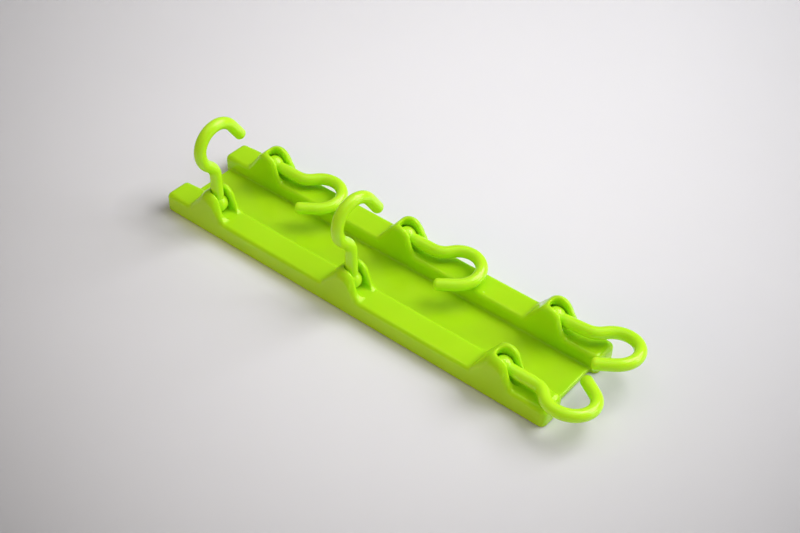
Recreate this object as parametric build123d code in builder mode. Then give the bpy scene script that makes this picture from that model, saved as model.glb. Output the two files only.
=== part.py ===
from build123d import *
import math
import os

os.makedirs("parts", exist_ok=True)

# Adhesive hook strip: a channel-shaped plastic strip with two raised rails,
# three hooded lugs on each rail, and a hook on a ball knuckle in every lug.
# Origin: middle of the sticky back face. +X along the strip, +Z away from the
# wall, -Y the front rail. Millimetres.

# ---- strip -----------------------------------------------------------------
strip_length = 161.4
strip_width = 39.6
back_z = 0.06            # moulding starts just above the sticky face
plate_top = 2.0
plate_inset = 2.5        # plate ends sit back from the rail ends
rail_width = 10.4
rail_top = 7.1
rail_corner = 2.0        # plan radius of the rail ends
rail_edge = 1.5          # rounding of the rail top edges
rail_mid = strip_width / 2 - rail_width / 2
recess_top = 1.0         # shallow pocket for the pad

# ---- lugs ------------------------------------------------------------------
lug_pitch = 60.5
lug_shift = 0.5          # the row of lugs sits a little towards the +X end
lug_top = 16.0
lug_left = -9.0          # foot of the long slope, from the lug centre
lug_right = 6.1
crest_left = -2.75
crest_right = 2.6
crest_radius = 4.4
foot_left_radius = 2.2
foot_right_radius = 3.0
hood_radius = 3.5        # rounding of the hood's outer side, across the rail
hood_inner = 1.6         # and of its inner side
slot_shift = -0.4        # slot sits a little inboard of the rail middle
slot_half = 2.45
slot_floor = 7.3
slot_crown = 13.3        # top of the hollow under the hood
hood_front = -2.2        # round end of the slot, where a raised stem leans
hollow_back = -2.7       # depth of the hollow behind the knuckle
seat_radius = 2.55       # round seats for the ball in the two cheeks
seat_depth = 1.0
cup_gap = 0.1            # play round the ball under the hood

# ---- hooks -----------------------------------------------------------------
ball_radius = 3.3
rod_radius = 2.1
pivot_x = 0.2            # from the lug centre
pivot_z = 10.2
pivot_y = rail_mid + slot_shift
stem_length = 11.58
bend_radius = 6.29
bend_angle = 53.2
curl_radius = 7.96
curl_angle = 111.4
crook_radius = 7.88
crook_angle = 87.9
tip_reach = 12.9        # how far the middle of the tip stands off the stem line
tip_edge = 1.35          # rounding of the blunt tip

# ---- pad -------------------------------------------------------------------
pad_length = 150.0
pad_width = 32.0
pad_corner = 2.0
pad_gap = 0.15

lug_x = [lug_shift - lug_pitch, lug_shift, lug_shift + lug_pitch]

# hook name: lug number, rail side (-1 front, +1 back), lift from the strip and
# roll about the stem, in degrees; two hooks stand up and four lie flat
stance = {
    "hook_front_left": (0, -1, 91.4, -2.5),
    "hook_front_middle": (1, -1, 91.9, -4.5),
    "hook_front_right": (2, -1, 0.1, -6.8),
    "hook_back_left": (0, 1, 0.0, 2.9),
    "hook_back_middle": (1, 1, 1.1, 4.5),
    "hook_back_right": (2, 1, 4.8, -3.8),
}

# ---- one rail with its three hooded lugs, front-rail hand ---------------------
with BuildPart() as rail:
    # side outline: level top, long slope, rounded crest and short slope
    with BuildSketch(Plane.XZ.offset(-rail_width / 2)) as outline:
        corners = [(-strip_length / 2, back_z), (-strip_length / 2, rail_top)]
        for x in lug_x:
            corners += [
                (x + lug_left, rail_top),
                (x + crest_left, lug_top),
                (x + crest_right, lug_top),
                (x + lug_right, rail_top),
            ]
        corners += [(strip_length / 2, rail_top), (strip_length / 2, back_z)]
        with BuildLine():
            Polyline(*corners, close=True)
        make_face()
        fillet(outline.vertices().group_by(Axis.Y)[-1], radius=crest_radius)
        for x in lug_x:
            fillet(
                [v for v in outline.vertices() if abs(v.X - x - lug_left) < 0.01],
                radius=foot_left_radius,
            )
            fillet(
                [v for v in outline.vertices() if abs(v.X - x - lug_right) < 0.01],
                radius=foot_right_radius,
            )
    extrude(amount=rail_width)
    fillet(rail.edges().filter_by(Axis.Z), radius=rail_corner)
    # soft top edge all round the rail and over the lugs
    rim = [
        e
        for e in rail.edges()
        if e.bounding_box().min.Z > rail_top - 0.01
        and (abs(e.center().Y) > 0.1 or abs(e.center().X) > strip_length / 2 - 0.1)
    ]
    fillet(rim, radius=rail_edge)
    # hoods rounded across the rail, more on their outer side
    with BuildSketch(Plane.YZ.offset(-strip_length / 2 - 1)) as hood:
        with Locations((0, lug_top / 2)):
            Rectangle(rail_width, lug_top)
        fillet(hood.vertices().group_by(Axis.Y)[-1].sort_by(Axis.X)[0], radius=hood_radius)
        fillet(hood.vertices().group_by(Axis.Y)[-1].sort_by(Axis.X)[-1], radius=hood_inner)
    extrude(amount=strip_length + 2, mode=Mode.INTERSECT)
    for x in lug_x:
        # hollow under the hood, arched at the top
        with BuildSketch(Plane.YZ.offset(x + hollow_back)) as hollow:
            with Locations((-slot_shift, (slot_floor + slot_crown) / 2)):
                Rectangle(2 * slot_half, slot_crown - slot_floor)
            fillet(hollow.vertices().group_by(Axis.Y)[-1], radius=slot_half - 0.05)
        extrude(amount=14, mode=Mode.SUBTRACT)
        # slot open upwards in front of the hood, with a round end
        with BuildSketch(Plane.XY.offset(slot_floor)) as slot:
            with Locations((x + hood_front, -slot_shift)):
                Rectangle(14, 2 * slot_half, align=(Align.MIN, Align.CENTER))
            fillet(slot.vertices().group_by(Axis.X)[0], radius=slot_half - 0.05)
        extrude(amount=10, mode=Mode.SUBTRACT)
        # round blind seats for the ball in both cheeks
        with BuildSketch(Plane.XZ.offset(slot_shift - slot_half - seat_depth)):
            with Locations((x + pivot_x, pivot_z)):
                Circle(seat_radius)
        extrude(amount=2 * (slot_half + seat_depth), mode=Mode.SUBTRACT)
        # round room for the ball
        with Locations((x + pivot_x, -slot_shift, pivot_z)):
            Sphere(ball_radius + cup_gap, mode=Mode.SUBTRACT)

# ---- base strip --------------------------------------------------------------
with BuildPart() as base_strip:
    with BuildSketch(Plane.XY.offset(back_z)):
        RectangleRounded(strip_length - 2 * plate_inset, strip_width - 2 * rail_corner, 0.8)
    extrude(amount=plate_top - back_z)
    with Locations((0, -rail_mid, 0)):
        add(rail.part)
    with Locations((0, rail_mid, 0)):
        add(mirror(rail.part, about=Plane.XZ, mode=Mode.PRIVATE))
    with BuildSketch(Plane.XY.offset(back_z)):
        RectangleRounded(pad_length + 2 * pad_gap, pad_width + 2 * pad_gap, pad_corner)
    extrude(amount=recess_top - back_z, mode=Mode.SUBTRACT)
base_strip.part.label = "base_strip"
export_step(base_strip.part, "parts/base_strip.step")

# ---- adhesive pad -----------------------------------------------------------
with BuildPart() as adhesive_pad:
    with BuildSketch(Plane.XY):
        RectangleRounded(pad_length, pad_width, pad_corner)
    extrude(amount=recess_top)
adhesive_pad.part.label = "adhesive_pad"
export_step(adhesive_pad.part, "parts/adhesive_pad.step")

# ---- one hook, lying along +X with its curl towards +Y -----------------------
with BuildPart() as hook:
    with BuildLine() as wire:
        stem = Line((0, 0, 0), (stem_length, 0, 0))
        bend = JernArc(stem @ 1, stem % 1, bend_radius, -bend_angle)
        curl = JernArc(bend @ 1, bend % 1, curl_radius, curl_angle)
        crook = JernArc(curl @ 1, curl % 1, crook_radius, crook_angle)
        tip_length = (tip_reach - (crook @ 1).Y) / (crook % 1).Y
        tip = Line(crook @ 1, crook @ 1 + (crook % 1) * tip_length)
    with BuildSketch(Plane.YZ):
        Circle(rod_radius)
    sweep(path=wire.wires()[0])
    # blunt tip with a rounded edge
    rings = hook.edges().filter_by(GeomType.CIRCLE)
    fillet([e for e in rings if (e.arc_center - tip @ 1).length < 0.05], radius=tip_edge)
    # ball knuckle, turned about the rod's own line
    with Locations(Plane.YZ.location):
        Sphere(ball_radius)

# ---- the six hooks in their lugs ---------------------------------------------
for name, (number, side, lift, roll) in stance.items():
    a, b = math.radians(lift), math.radians(roll)
    along = Vector(math.cos(a), 0, math.sin(a))
    across = Vector(0, -side, 0)
    normal = along.cross(across)
    across = across * math.cos(b) + normal * math.sin(b)
    seat = Plane(
        origin=(lug_x[number] + pivot_x, side * pivot_y, pivot_z),
        x_dir=along,
        z_dir=along.cross(across),
    )
    with BuildPart() as placed_hook:
        with Locations(seat.location):
            add(hook.part)
    placed_hook.part.label = name
    export_step(placed_hook.part, "parts/" + name + ".step")
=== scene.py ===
import math

import bpy
import numpy as np
from mathutils import Matrix, Vector


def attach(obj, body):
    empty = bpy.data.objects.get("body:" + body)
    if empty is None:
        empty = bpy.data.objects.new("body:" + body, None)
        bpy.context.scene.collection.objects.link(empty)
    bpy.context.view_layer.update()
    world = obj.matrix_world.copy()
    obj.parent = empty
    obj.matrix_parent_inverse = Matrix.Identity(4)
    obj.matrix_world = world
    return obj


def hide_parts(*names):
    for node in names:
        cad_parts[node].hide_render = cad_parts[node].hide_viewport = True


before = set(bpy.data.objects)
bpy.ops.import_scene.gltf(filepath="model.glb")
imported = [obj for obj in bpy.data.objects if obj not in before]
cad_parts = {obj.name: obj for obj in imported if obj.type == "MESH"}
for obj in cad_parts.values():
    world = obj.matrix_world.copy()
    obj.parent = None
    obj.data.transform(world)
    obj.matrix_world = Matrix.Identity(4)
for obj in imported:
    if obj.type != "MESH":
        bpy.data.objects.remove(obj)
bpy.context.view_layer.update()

MM = 0.001

# ---------------------------------------------------------------------------
# Sizes, in millimetres, as in the construction
# ---------------------------------------------------------------------------
strip_length, strip_width = 161.4, 39.6
back_z, plate_top, plate_inset = 0.06, 2.0, 2.5
rail_width, rail_top, rail_corner, rail_edge = 10.4, 7.1, 2.0, 1.5
rail_mid = strip_width / 2 - rail_width / 2
lug_x = (-60.0, 0.5, 61.0)
lug_top, lug_left, lug_right = 16.0, -9.0, 6.1
crest_left, crest_right, crest_radius = -2.75, 2.6, 4.4
foot_left_radius, foot_right_radius = 2.2, 3.0
hood_radius, hood_inner, rim_round = 3.5, 1.6, 1.3
slot_shift, slot_half, slot_floor, slot_crown = -0.4, 2.45, 7.3, 13.3
hood_front, hollow_back = -2.2, -2.7
ball_radius, rod_radius = 3.3, 2.1
pivot_x, pivot_z = 0.2, 10.2
pivot_y = rail_mid + slot_shift
stem_length, bend_radius, bend_angle = 11.58, 6.29, 53.2
curl_radius, curl_angle, crook_radius, crook_angle = 7.96, 111.4, 7.88, 87.9
tip_reach, tip_edge = 12.9, 1.35
pad_length, pad_width, pad_corner, pad_gap, recess_top = 150.0, 32.0, 2.0, 0.15, 1.0

stance = {
    "hook_front_left": (0, -1, 91.4, -2.5),
    "hook_front_middle": (1, -1, 91.9, -4.5),
    "hook_front_right": (2, -1, 0.1, -6.8),
    "hook_back_left": (0, 1, 0.0, 2.9),
    "hook_back_middle": (1, 1, 1.1, 4.5),
    "hook_back_right": (2, 1, 4.8, -3.8),
}


# ---------------------------------------------------------------------------
# Base strip: a moulded form given by a signed distance, with rounded joins
# ---------------------------------------------------------------------------
def round_corners(points, radii):
    """A polyline with its inner corners rounded, as dense points."""
    out = [np.array(points[0], float)]
    for i in range(1, len(points) - 1):
        p, a, b = (np.array(points[k], float) for k in (i, i - 1, i + 1))
        u, w = (a - p) / np.linalg.norm(a - p), (b - p) / np.linalg.norm(b - p)
        half = math.acos(max(-1.0, min(1.0, float(u @ w)))) / 2
        t = radii[i - 1] / math.tan(half)
        bis = (u + w) / np.linalg.norm(u + w)
        c = p + bis * radii[i - 1] / math.sin(half)
        s, e = p + u * t - c, p + w * t - c
        a0, a1 = math.atan2(s[1], s[0]), math.atan2(e[1], e[0])
        d = (a1 - a0 + math.pi) % (2 * math.pi) - math.pi
        for k in range(41):
            g = a0 + d * k / 40
            out.append(c + radii[i - 1] * np.array([math.cos(g), math.sin(g)]))
    out.append(np.array(points[-1], float))
    return np.array(out)


def side_outline():
    corners, radii = [(-95.0, rail_top)], []
    for x in lug_x:
        corners += [
            (x + lug_left, rail_top),
            (x + crest_left, lug_top),
            (x + crest_right, lug_top),
            (x + lug_right, rail_top),
        ]
        radii += [foot_left_radius, crest_radius, crest_radius, foot_right_radius]
    corners.append((95.0, rail_top))
    p = round_corners(corners, radii)
    xs = np.arange(-94.0, 94.0, 0.01)
    return xs, np.interp(xs, p[:, 0], p[:, 1])


OUT_X, OUT_H = side_outline()
OUT_D = np.gradient(OUT_H, OUT_X)


def smoothstep(a, b, x):
    t = np.clip((x - a) / (b - a), 0, 1)
    return t * t * (3 - 2 * t)


def meet_round(a, b, r):
    """Where both are solid, with the outer edge rounded to radius r."""
    u, w = np.maximum(a + r, 0), np.maximum(b + r, 0)
    return np.minimum(-r, np.maximum(a, b)) + np.sqrt(u * u + w * w)


def join_round(a, b, r):
    """Where either is solid, with the inner corner filleted to radius r."""
    u, w = np.maximum(r - a, 0), np.maximum(r - b, 0)
    return np.maximum(r, np.minimum(a, b)) - np.sqrt(u * u + w * w)


def rounded_rect(px, py, hx, hy, r):
    qx, qy = np.abs(px) - hx + r, np.abs(py) - hy + r
    return np.sqrt(np.maximum(qx, 0) ** 2 + np.maximum(qy, 0) ** 2) + np.minimum(np.maximum(qx, qy), 0) - r


def strip_distance(x, y, z):
    ay = np.abs(y)
    h, d = np.interp(x, OUT_X, OUT_H), np.interp(x, OUT_X, OUT_D)
    top = (z - h) / np.sqrt(1 + d * d)
    plan = rounded_rect(x, ay - rail_mid, strip_length / 2, rail_width / 2, rail_corner)
    hood = np.where(ay > rail_mid, hood_radius, hood_inner)  # rounder on the outer side
    r = rail_edge + (hood - rail_edge) * smoothstep(8.2, 13.5, z) + 0.7 * smoothstep(73.0, 79.0, np.abs(x))
    rail = meet_round(plan, top, r)
    plate = meet_round(
        rounded_rect(x, y, strip_length / 2 - plate_inset, strip_width / 2 - rail_corner, 0.8), z - plate_top, 0.55
    )
    body = join_round(rail, plate, 0.7)
    body = meet_round(body, back_z - z, 0.25)

    # hooded hollow with an arched crown, open upwards in front of the hood
    lx = x - np.array(lug_x)[np.argmin(np.abs(x[..., None] - np.array(lug_x)), axis=-1)]
    w = ay - pivot_y
    spring = slot_crown - slot_half
    arch = np.where(z > spring, np.sqrt(w * w + (z - spring) ** 2), np.abs(w)) - slot_half
    floor = slot_floor - z
    tunnel = meet_round(meet_round(arch, floor, 1.1), hollow_back - lx, 1.0)
    end = hood_front + slot_half
    slot = np.where(lx < end, np.sqrt((lx - end) ** 2 + w * w), np.abs(w)) - slot_half
    slot = meet_round(slot, floor, 1.1)
    hollow = join_round(tunnel, slot, 0.55)
    seat = np.sqrt((lx - pivot_x) ** 2 + w * w + (z - pivot_z) ** 2) - (ball_radius + 0.06)
    hollow = np.minimum(hollow, seat)
    rim = 0.04 + (rim_round - 0.04) * smoothstep(7.3, 9.4, z) - 0.5 * smoothstep(11.5, 14.5, z)
    body = meet_round(body, -hollow, rim)

    # shallow pocket for the pad
    pocket = np.maximum(
        rounded_rect(x, y, pad_length / 2 + pad_gap, pad_width / 2 + pad_gap, pad_corner), z - recess_top
    )
    return np.maximum(body, -pocket)


def steps(spans):
    """Grid lines through a list of (end, spacing) spans."""
    out = [spans[0][0]]
    for end, gap in spans[1:]:
        n = max(1, int(round((end - out[-1]) / gap)))
        out += list(np.linspace(out[-1], end, n + 1)[1:])
    return np.array(out)


def surface_nets(xs, ys, zs, field):
    """Quads of the zero surface of field on a grid of lines."""
    X, Y, Z = np.meshgrid(xs, ys, zs, indexing="ij")
    F = field(X, Y, Z)
    inside = F < 0
    n = tuple(s - 1 for s in F.shape)

    def corner(A, i, j, k):
        return A[i : i + n[0], j : j + n[1], k : k + n[2]]

    count = sum(corner(inside, i, j, k).astype(np.int8) for i in (0, 1) for j in (0, 1) for k in (0, 1))
    mixed = (count > 0) & (count < 8)
    total, hits = np.zeros(n + (3,)), np.zeros(n)
    for axis in range(3):
        others = [a for a in range(3) if a != axis]
        for p in (0, 1):
            for q in (0, 1):
                o0 = [0, 0, 0]
                o0[others[0]], o0[others[1]] = p, q
                o1 = list(o0)
                o1[axis] = 1
                fa, fb = corner(F, *o0), corner(F, *o1)
                cross = (fa < 0) != (fb < 0)
                t = np.where(cross, fa / np.where(cross, fa - fb, 1), 0)
                for c, G in enumerate((X, Y, Z)):
                    a, b = corner(G, *o0), corner(G, *o1)
                    total[..., c] += np.where(cross, a + (b - a) * t, 0)
                hits += cross
    index = np.full(n, -1)
    index[mixed] = np.arange(int(mixed.sum()))
    verts = total[mixed] / hits[mixed][:, None]
    quads = []
    for axis in range(3):
        lo = [slice(None)] * 3
        hi = [slice(None)] * 3
        lo[axis], hi[axis] = slice(0, -1), slice(1, None)
        cross = inside[tuple(lo)] != inside[tuple(hi)]
        a, b = [c for c in range(3) if c != axis]
        for c in (a, b):  # the edge has four cells round it
            cut = [slice(None)] * 3
            cut[c] = slice(1, -1)
            cross = cross[tuple(cut)]
        e = np.argwhere(cross)
        e[:, a] += 1
        e[:, b] += 1

        def cell(da, db):
            q = e.copy()
            q[:, a] -= da
            q[:, b] -= db
            return index[q[:, 0], q[:, 1], q[:, 2]]

        quad = np.stack([cell(1, 1), cell(0, 1), cell(0, 0), cell(1, 0)], 1)
        out = inside[e[:, 0], e[:, 1], e[:, 2]]
        flip = out if axis != 1 else ~out
        quad[~flip] = quad[~flip][:, ::-1]
        quads.append(quad)
    return verts, np.concatenate(quads)


def gradient(field, v, e=0.02):
    g = np.empty_like(v)
    for c in range(3):
        a, b = v.copy(), v.copy()
        a[:, c] += e
        b[:, c] -= e
        g[:, c] = (field(*a.T) - field(*b.T)) / (2 * e)
    return g


def onto_surface(field, v, rounds=6, most=0.25):
    for _ in range(rounds):
        g = gradient(field, v)
        f = field(*v.T)
        move = g * (f / np.maximum((g * g).sum(1), 0.05))[:, None]
        length = np.linalg.norm(move, axis=1)
        v = v - move * np.minimum(1, most / np.maximum(length, 1e-9))[:, None]
    return v


def make_object(name, verts_mm, faces, normals=None):
    me = bpy.data.meshes.new(name)
    me.from_pydata((np.asarray(verts_mm) * MM).tolist(), [], np.asarray(faces).tolist() if isinstance(faces, np.ndarray) else faces)
    me.update()
    me.shade_smooth()
    if normals is not None:
        me.normals_split_custom_set_from_vertices(normals.tolist())
    ob = bpy.data.objects.new(name, me)
    bpy.context.scene.collection.objects.link(ob)
    return ob


fine, coarse = 0.38, 1.25
xs = steps(
    [(-81.4, 0), (-74.2, fine), (-71.2, coarse), (-50.3, fine), (-10.6, coarse), (10.2, fine)]
    + [(49.9, coarse), (70.7, fine), (74.2, coarse), (81.4, fine)]
)
ys = steps([(-20.3, 0), (-8.4, fine), (8.4, coarse), (20.3, fine)])
zs = steps([(-0.4, 0), (2.8, 0.3), (16.6, fine)])
verts, quads = surface_nets(xs, ys, zs, strip_distance)
verts = onto_surface(strip_distance, verts)
normals = gradient(strip_distance, verts)
normals /= np.maximum(np.linalg.norm(normals, axis=1), 1e-9)[:, None]
strip = make_object("strip_body", verts, quads, normals)
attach(strip, "strip")
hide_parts("base_strip")


# ---------------------------------------------------------------------------
# Hooks: one round rod swept along its bends, with a ball knuckle
# ---------------------------------------------------------------------------
def hook_line():
    """Centre line of the hook, its directions and lengths, in its own plane."""
    runs = [
        (stem_length, 0.0),
        (math.radians(bend_angle) * bend_radius, -1 / bend_radius),
        (math.radians(curl_angle) * curl_radius, 1 / curl_radius),
        (math.radians(crook_angle) * crook_radius, 1 / crook_radius),
    ]
    turn = math.radians(curl_angle + crook_angle - bend_angle)
    p, a = np.zeros(2), 0.0
    for length, k in runs:
        if k == 0:
            p = p + length * np.array([math.cos(a), math.sin(a)])
        else:
            p = p + np.array([math.sin(a + k * length) - math.sin(a), math.cos(a) - math.cos(a + k * length)]) / k
            a += k * length
    runs.append(((tip_reach - p[1]) / math.sin(turn), 0.0))
    ds = 0.02
    k = np.concatenate([np.full(int(round(length / ds)), c) for length, c in runs])
    total = len(k) * ds
    kernel = np.exp(-0.5 * (np.arange(-3.0, 3.0001, ds) / 0.8) ** 2)
    kernel /= kernel.sum()
    pad = len(kernel) // 2
    k = np.convolve(np.concatenate([np.zeros(pad), k, np.zeros(pad)]), kernel, mode="valid")[: len(k)]
    a = np.concatenate([[0], np.cumsum(k) * ds])
    mid = (a[1:] + a[:-1]) / 2
    u = np.concatenate([[0], np.cumsum(np.cos(mid)) * ds])
    v = np.concatenate([[0], np.cumsum(np.sin(mid)) * ds])
    return np.arange(len(u)) * ds, u, v, a, total


LINE_S, LINE_U, LINE_V, LINE_A, LINE_L = hook_line()


def hook_profile():
    """(station along the line, radius) from the ball's back to the blunt tip."""
    neck = 0.6
    sf = math.sqrt((ball_radius + neck) ** 2 - (rod_radius + neck) ** 2)
    ball_end = math.atan2(rod_radius + neck, sf)
    out = []
    for t in np.linspace(math.pi, ball_end, 34):
        out.append((ball_radius * math.cos(t), ball_radius * math.sin(t)))
    for t in np.linspace(ball_end + math.pi, 1.5 * math.pi, 7)[1:]:
        out.append((sf + neck * math.cos(t), rod_radius + neck + neck * math.sin(t)))
    edge, end = tip_edge, LINE_L
    for s in np.arange(sf + 0.4, end - edge - 0.1, 0.4):
        out.append((s, rod_radius))
    for t in np.linspace(0, math.pi / 2, 10):
        out.append((end - edge + edge * math.sin(t), rod_radius - edge + edge * math.cos(t)))
    out.append((end, 0.0))
    return np.array(out)


def hook_mesh(number, side, lift, roll, around=44):
    a, b = math.radians(lift), math.radians(roll)
    eu = np.array([math.cos(a), 0, math.sin(a)])
    ev = np.array([0, -side, 0.0])
    en = np.cross(eu, ev)
    ev = ev * math.cos(b) + en * math.sin(b)
    en = np.cross(eu, ev)
    origin = np.array([lug_x[number] + pivot_x, side * pivot_y, pivot_z])
    prof = hook_profile()
    s = prof[:, 0]
    sc = np.clip(s, 0, LINE_S[-1])
    ang = np.interp(sc, LINE_S, LINE_A)
    cu = np.interp(sc, LINE_S, LINE_U) + (s - sc) * np.cos(ang)
    cv = np.interp(sc, LINE_S, LINE_V) + (s - sc) * np.sin(ang)
    centre = origin + cu[:, None] * eu + cv[:, None] * ev
    left = -np.sin(ang)[:, None] * eu + np.cos(ang)[:, None] * ev
    th = np.arange(around) * 2 * math.pi / around
    ring = left[:, None, :] * np.cos(th)[None, :, None] + en[None, None, :] * np.sin(th)[None, :, None]
    pts = centre[:, None, :] + prof[:, 1][:, None, None] * ring
    n = len(prof)
    verts = np.concatenate([pts[1:-1].reshape(-1, 3), centre[:1], centre[-1:]])
    idx = np.arange((n - 2) * around).reshape(n - 2, around)
    nxt = np.roll(idx, -1, axis=1)
    quads = np.stack([idx[:-1], nxt[:-1], nxt[1:], idx[1:]], -1).reshape(-1, 4)
    faces = quads.tolist()
    first, last = (n - 2) * around, (n - 2) * around + 1
    faces += [[first, int(nxt[0, k]), int(idx[0, k])] for k in range(around)]
    faces += [[last, int(idx[-1, k]), int(nxt[-1, k])] for k in range(around)]
    return verts, faces


hooks = []
for name, pose in stance.items():
    hv, hf = hook_mesh(*pose)
    ob = make_object(name.replace("hook_", "rod_"), hv, hf)
    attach(ob, name)
    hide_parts(name)
    hooks.append(ob)


# ---------------------------------------------------------------------------
# Adhesive pad: foam tape with softened edges
# ---------------------------------------------------------------------------
def pad_mesh():
    def outline(inset, z, n=10):
        hx, hy, r = pad_length / 2 - inset, pad_width / 2 - inset, pad_corner - inset
        pts = []
        for cx, cy, a0 in ((hx - r, hy - r, 0), (-hx + r, hy - r, 90), (-hx + r, -hy + r, 180), (hx - r, -hy + r, 270)):
            for k in range(n + 1):
                g = math.radians(a0 + 90 * k / n)
                pts.append((cx + r * math.cos(g), cy + r * math.sin(g), z))
        return pts

    rings = [outline(0.12, 0.0), outline(0.03, 0.05), outline(0.0, 0.14), outline(0.02, 0.5)]
    rings += [outline(0.0, 0.86), outline(0.03, 0.95), outline(0.12, 1.0)]
    m = len(rings[0])
    verts = [p for r in rings for p in r]
    faces = []
    for i in range(len(rings) - 1):
        for k in range(m):
            j = (k + 1) % m
            faces.append([i * m + k, i * m + j, (i + 1) * m + j, (i + 1) * m + k])
    faces.append(list(range(m))[::-1])
    faces.append([(len(rings) - 1) * m + k for k in range(m)])
    return verts, faces


pv, pf = pad_mesh()
pad = make_object("foam_tape", pv, pf)
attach(pad, "strip")
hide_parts("adhesive_pad")


# ---------------------------------------------------------------------------
# Materials
# ---------------------------------------------------------------------------
def new_material(name):
    m = bpy.data.materials.new(name)
    m.use_nodes = True
    nt = m.node_tree
    nt.nodes.clear()
    out = nt.nodes.new("ShaderNodeOutputMaterial")
    p = nt.nodes.new("ShaderNodeBsdfPrincipled")
    nt.links.new(p.outputs[0], out.inputs[0])
    return m, nt, p


def node(nt, kind, **props):
    n = nt.nodes.new(kind)
    for k, v in props.items():
        setattr(n, k, v)
    return n


def noise(nt, vec, scale, detail=2.0, rough=0.5, distortion=0.0):
    n = node(nt, "ShaderNodeTexNoise")
    n.inputs["Scale"].default_value = scale
    n.inputs["Detail"].default_value = detail
    n.inputs["Roughness"].default_value = rough
    n.inputs["Distortion"].default_value = distortion
    nt.links.new(vec, n.inputs["Vector"])
    return n.outputs["Fac"]


def ramp(nt, fac, stops):
    n = node(nt, "ShaderNodeValToRGB")
    e = n.color_ramp.elements
    while len(e) > 1:
        e.remove(e[-1])
    e[0].position, e[0].color = stops[0][0], stops[0][1]
    for pos, col in stops[1:]:
        x = e.new(pos)
        x.color = col
    nt.links.new(fac, n.inputs["Fac"])
    return n.outputs["Color"]


def grey(v):
    return (v, v, v, 1.0)


def math_node(nt, op, a, b):
    n = node(nt, "ShaderNodeMath", operation=op)
    for i, x in enumerate((a, b)):
        if isinstance(x, (int, float)):
            n.inputs[i].default_value = x
        else:
            nt.links.new(x, n.inputs[i])
    return n.outputs[0]


def mix_colour(nt, fac, a, b):
    n = node(nt, "ShaderNodeMix", data_type="RGBA")
    for sock, x in ((n.inputs["Factor"], fac), (n.inputs[6], a), (n.inputs[7], b)):
        if isinstance(x, (int, float)):
            sock.default_value = x
        elif isinstance(x, tuple):
            sock.default_value = x
        else:
            nt.links.new(x, sock)
    return n.outputs[2]


def plastic(name, light, deep, sss, depth, rough, tint):
    m, nt, p = new_material(name)
    tc = node(nt, "ShaderNodeTexCoord").outputs["Object"]
    cloud = noise(nt, tc, 55.0, 3.0, 0.55)
    col = ramp(nt, cloud, [(0.32, deep), (0.68, light)])
    # a few tiny specks in the moulding
    vor = node(nt, "ShaderNodeTexVoronoi")
    vor.inputs["Scale"].default_value = 150.0
    nt.links.new(tc, vor.inputs["Vector"])
    speck = ramp(nt, vor.outputs["Distance"], [(0.018, grey(1)), (0.03, grey(0))])
    rare = ramp(nt, noise(nt, tc, 31.0, 1.0), [(0.62, grey(0)), (0.66, grey(1))])
    fac = math_node(nt, "MULTIPLY", speck, rare)
    col = mix_colour(nt, math_node(nt, "MULTIPLY", fac, 0.6), col, (0.16, 0.2, 0.02, 1))
    nt.links.new(col, p.inputs["Base Color"])
    # gloss that wanders a little, with faint handling marks
    smear = ramp(nt, noise(nt, tc, 70.0, 3.0, 0.5, 0.4), [(0.3, grey(rough - 0.02)), (0.7, grey(rough + 0.03))])
    nt.links.new(smear, p.inputs["Roughness"])
    skin = noise(nt, tc, 900.0, 2.0)
    grain = noise(nt, tc, 4200.0, 2.0)
    height = math_node(nt, "ADD", math_node(nt, "MULTIPLY", skin, 1.0), math_node(nt, "MULTIPLY", grain, 0.25))
    bump = node(nt, "ShaderNodeBump")
    bump.inputs["Strength"].default_value = 0.03
    bump.inputs["Distance"].default_value = 0.0002
    nt.links.new(height, bump.inputs["Height"])
    nt.links.new(bump.outputs[0], p.inputs["Normal"])
    p.inputs["IOR"].default_value = 1.5
    p.inputs["Specular Tint"].default_value = tint
    p.inputs["Subsurface Weight"].default_value = sss
    p.inputs["Subsurface Radius"].default_value = (0.8, 1.0, 0.15)
    p.inputs["Subsurface Scale"].default_value = depth
    return m


LIME = (0.445, 0.77, 0.011, 1)
LIME_DEEP = (0.42, 0.735, 0.008, 1)
strip_mat = plastic("strip_lime_plastic", LIME, LIME_DEEP, 0.8, 0.0026, 0.15, (0.88, 1.0, 0.36, 1))
hook_mat = plastic("hook_lime_plastic", (0.515, 0.865, 0.020, 1), (0.49, 0.84, 0.016, 1), 0.8, 0.0034, 0.15, (0.92, 1.0, 0.70, 1))
strip.data.materials.append(strip_mat)
for ob in hooks:
    ob.data.materials.append(hook_mat)

foam, nt, p = new_material("white_foam_tape")
tc = node(nt, "ShaderNodeTexCoord").outputs["Object"]
cells = node(nt, "ShaderNodeTexVoronoi")
cells.inputs["Scale"].default_value = 2400.0
nt.links.new(tc, cells.inputs["Vector"])
shade = ramp(nt, noise(nt, tc, 90.0, 3.0), [(0.3, (0.78, 0.78, 0.75, 1)), (0.7, (0.86, 0.86, 0.84, 1))])
nt.links.new(shade, p.inputs["Base Color"])
rough = ramp(nt, cells.outputs["Distance"], [(0.0, grey(0.95)), (0.6, grey(0.75))])
nt.links.new(rough, p.inputs["Roughness"])
bump = node(nt, "ShaderNodeBump")
bump.inputs["Strength"].default_value = 0.5
bump.inputs["Distance"].default_value = 0.0002
nt.links.new(cells.outputs["Distance"], bump.inputs["Height"])
nt.links.new(bump.outputs[0], p.inputs["Normal"])
pad.data.materials.append(foam)


# ---------------------------------------------------------------------------
# Floor, light and camera
# ---------------------------------------------------------------------------
bpy.ops.mesh.primitive_grid_add(x_subdivisions=8, y_subdivisions=8, size=6.0, location=(0, 0, -0.00003))
floor = bpy.context.object
floor.name = "floor"
fm, nt, p = new_material("pale_floor")
tc = node(nt, "ShaderNodeTexCoord").outputs["Object"]
tone = ramp(nt, noise(nt, tc, 9.0, 4.0), [(0.35, grey(0.985)), (0.65, grey(1.0))])
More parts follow.
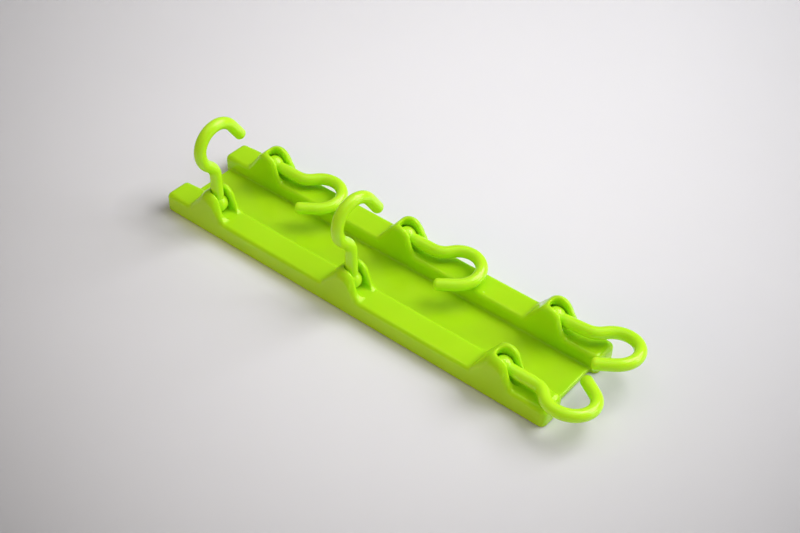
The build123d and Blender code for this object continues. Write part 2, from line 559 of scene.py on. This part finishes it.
# painted light: the pale sheet's colour is brightest behind the strip and falls off to all sides, a pool of light
# painted into the floor
axes = node(nt, "ShaderNodeSeparateXYZ")
nt.links.new(tc, axes.inputs[0])
fx, fy = axes.outputs[0], axes.outputs[1]


def blend(a, x, b, y):
    return math_node(nt, "ADD", math_node(nt, "MULTIPLY", x, a), math_node(nt, "MULTIPLY", y, b))


deep = blend(-0.616, fx, 0.788, fy)
side = blend(0.788, fx, 0.616, fy)
spread = math_node(nt, "MAXIMUM", blend(1.64, deep, 1.0, 1.0), 0.5)
side = math_node(nt, "SUBTRACT", math_node(nt, "DIVIDE", side, spread), 0.0144)
deep = math_node(nt, "SUBTRACT", math_node(nt, "DIVIDE", deep, spread), 0.0548)
fall = blend(12.4, math_node(nt, "MULTIPLY", side, side), 5.57, math_node(nt, "MULTIPLY", deep, deep))
# painted pool of light: the sheet's colour falls off with distance from the bright spot
painted_light_pool = ramp(nt, fall, [(0.0, (0.804, 0.800, 0.839, 1)), (0.42, (0.395, 0.392, 0.412, 1)), (1.0, (0.36, 0.358, 0.376, 1))])
both = node(nt, "ShaderNodeMix", data_type="RGBA", blend_type="MULTIPLY")
both.inputs["Factor"].default_value = 1.0
nt.links.new(painted_light_pool, both.inputs[6])
nt.links.new(tone, both.inputs[7])
# painted light: the sheet's colour is brightened and tinted along the strip's front edge, standing in for light that
# comes through the strip
ahead = math_node(nt, "MULTIPLY", math_node(nt, "SUBTRACT", math_node(nt, "MULTIPLY", fy, -1.0), 0.0198), 100.0)
# painted light and tint in the floor colour, strongest right at the front edge
painted_front_light = ramp(nt, ahead, [(0.0, (1.18, 1.20, 0.78, 1)), (0.1, (1.24, 1.23, 0.98, 1)), (0.22, (1.26, 1.24, 1.15, 1)),
                        (0.40, (1.20, 1.19, 1.19, 1)), (0.63, (1.10, 1.10, 1.11, 1)), (1.0, (1.0, 1.0, 1.0, 1))])
from_left = math_node(nt, "MULTIPLY", math_node(nt, "ADD", fx, 0.082), 100.0)
from_right = math_node(nt, "MULTIPLY", math_node(nt, "SUBTRACT", 0.078, fx), 62.0)
inside = math_node(nt, "MINIMUM", math_node(nt, "MINIMUM", from_left, from_right), 1.0)
inside = math_node(nt, "MULTIPLY", math_node(nt, "MAXIMUM", inside, 0.0), math_node(nt, "LESS_THAN", fy, 0.0))
taper = math_node(nt, "MULTIPLY", math_node(nt, "SUBTRACT", 0.0417, fx), 11.54)
taper = math_node(nt, "MAXIMUM", math_node(nt, "MINIMUM", taper, 1.0), 0.25)
inside = math_node(nt, "MULTIPLY", inside, taper)
edge = node(nt, "ShaderNodeMix", data_type="RGBA", blend_type="MULTIPLY")
nt.links.new(inside, edge.inputs["Factor"])
nt.links.new(both.outputs[2], edge.inputs[6])
nt.links.new(painted_front_light, edge.inputs[7])
# painted shadow: the sheet's colour is a little darker off the front left corner
off_x = math_node(nt, "ADD", fx, 0.0830)
off_y = math_node(nt, "ADD", fy, 0.0216)
off = math_node(nt, "SQRT", blend(1.0, math_node(nt, "MULTIPLY", off_x, off_x), 1.0, math_node(nt, "MULTIPLY", off_y, off_y)), 0.0)
# painted shadow, darkest next to the corner and fading out
painted_corner_shadow = ramp(nt, math_node(nt, "MULTIPLY", off, 58.0), [(0.0, grey(0.74)), (0.34, grey(0.88)), (1.0, grey(1.0))])
corner = node(nt, "ShaderNodeMix", data_type="RGBA", blend_type="MULTIPLY")
corner.inputs["Factor"].default_value = 1.0
nt.links.new(edge.outputs[2], corner.inputs[6])
nt.links.new(painted_corner_shadow, corner.inputs[7])
nt.links.new(corner.outputs[2], p.inputs["Base Color"])
p.inputs["Roughness"].default_value = 0.6
p.inputs["Specular IOR Level"].default_value = 0.25
p.inputs["Subsurface Weight"].default_value = 0.5  # thick paper, soft under the strip
p.inputs["Subsurface Radius"].default_value = (1.0, 1.0, 0.9)
p.inputs["Subsurface Scale"].default_value = 0.003
floor.data.materials.append(fm)

world = bpy.data.worlds.new("studio")
bpy.context.scene.world = world
world.use_nodes = True
world.node_tree.nodes["Background"].inputs["Color"].default_value = (1.0, 0.99, 0.97, 1)
world.node_tree.nodes["Background"].inputs["Strength"].default_value = 0.17


def area(name, toward, distance, size, energy, colour=(1, 1, 1), aim=(0, 0, 0.01)):
    data = bpy.data.lights.new(name, "AREA")
    data.shape = "RECTANGLE"
    data.size, data.size_y = size
    data.energy = energy
    data.color = colour
    ob = bpy.data.objects.new(name, data)
    bpy.context.scene.collection.objects.link(ob)
    d = Vector(toward).normalized()
    ob.location = Vector(aim) + d * distance
    ob.rotation_mode = "QUATERNION"
    ob.rotation_quaternion = d.to_track_quat("Z", "Y")
    return ob


area("window", (0.364, 0.561, 0.743), 1.1, (0.8, 0.8), 10.6)
area("ceiling", (0.05, 0.1, 1.0), 1.4, (1.6, 1.6), 6.0)
area("side_window", (0.81, 0.49, 0.32), 1.3, (0.5, 0.65), 3.2)
lamp = area("lamp", (-0.25, -0.9, 0.28), 1.6, (1.4, 0.6), 5.7, (1.0, 0.62, 0.22))
lamp.visible_glossy = False  # fills the shaded side without a second glint
room = area("room", (0.68, -0.62, 0.38), 1.4, (0.9, 0.7), 1.5, (1.0, 0.93, 0.55))
room.visible_glossy = False

scene = bpy.context.scene
scene.view_settings.view_transform = "Standard"
scene.view_settings.look = "None"

az, el, roll = math.radians(37.97), math.radians(41.56), math.radians(1.68)
distance, focal = 0.4562, 1367.5
target = Vector((0.00526, 0.00502, 0.00513))
back = Vector((math.sin(az) * math.cos(el), -math.cos(az) * math.cos(el), math.sin(el)))
right = Vector((math.cos(az), math.sin(az), 0))
up = back.cross(right)
R = right * math.cos(roll) + up * math.sin(roll)
U = -right * math.sin(roll) + up * math.cos(roll)
cam = bpy.data.cameras.new("camera")
cam.sensor_fit = "HORIZONTAL"
cam.sensor_width = 36.0
cam.lens = focal * 36.0 / 800.0
cam.clip_start, cam.clip_end = 0.01, 20.0
cam_ob = bpy.data.objects.new("camera", cam)
scene.collection.objects.link(cam_ob)
cam_ob.matrix_world = Matrix.Translation(target + back * distance) @ Matrix((R, U, back)).transposed().to_4x4()
scene.camera = cam_ob

bpy.context.view_layer.update()
